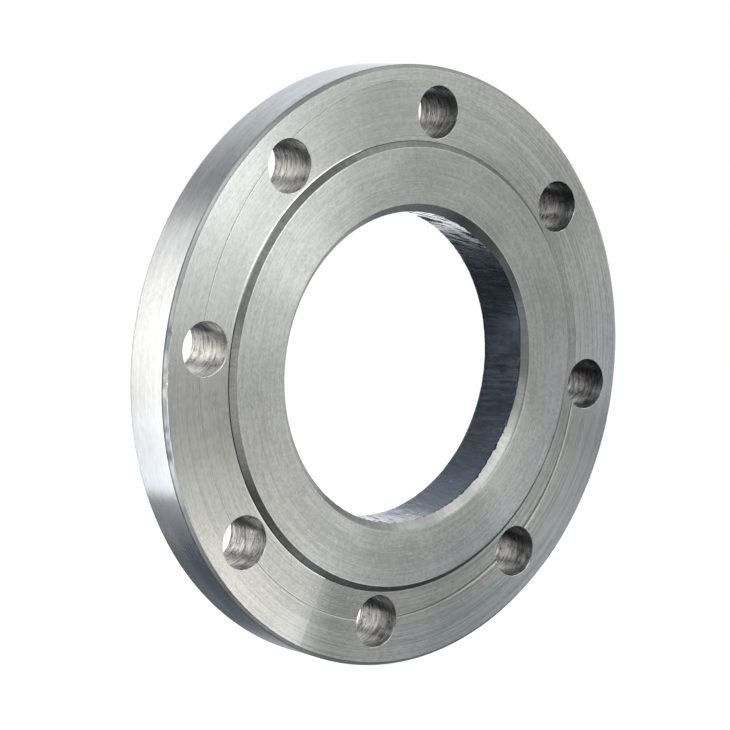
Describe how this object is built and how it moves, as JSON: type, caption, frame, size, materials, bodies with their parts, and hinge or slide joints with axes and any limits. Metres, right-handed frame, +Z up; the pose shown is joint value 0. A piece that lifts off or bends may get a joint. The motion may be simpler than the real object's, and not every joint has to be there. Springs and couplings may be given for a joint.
{
  "type": "pipe flange",
  "caption": "Flat raised-face pipe flange: a turned steel ring with an open chamfered pipe bore, a low raised sealing face and a ring of drilled bolt holes.",
  "frame": {"origin": "on the bore axis, halfway between the raised sealing face and the back face", "axes": "+Y along the bore axis, from the raised sealing face to the back face; the sealing face looks towards -Y; +Z up through the centre of one bolt hole"},
  "size_m": [0.254, 0.0258, 0.254],
  "materials": {
    "turned_steel": "satin turned"
  },
  "bodies": {
    "root": {"flange_ring": "turned_steel"}
  },
  "joints": []
}
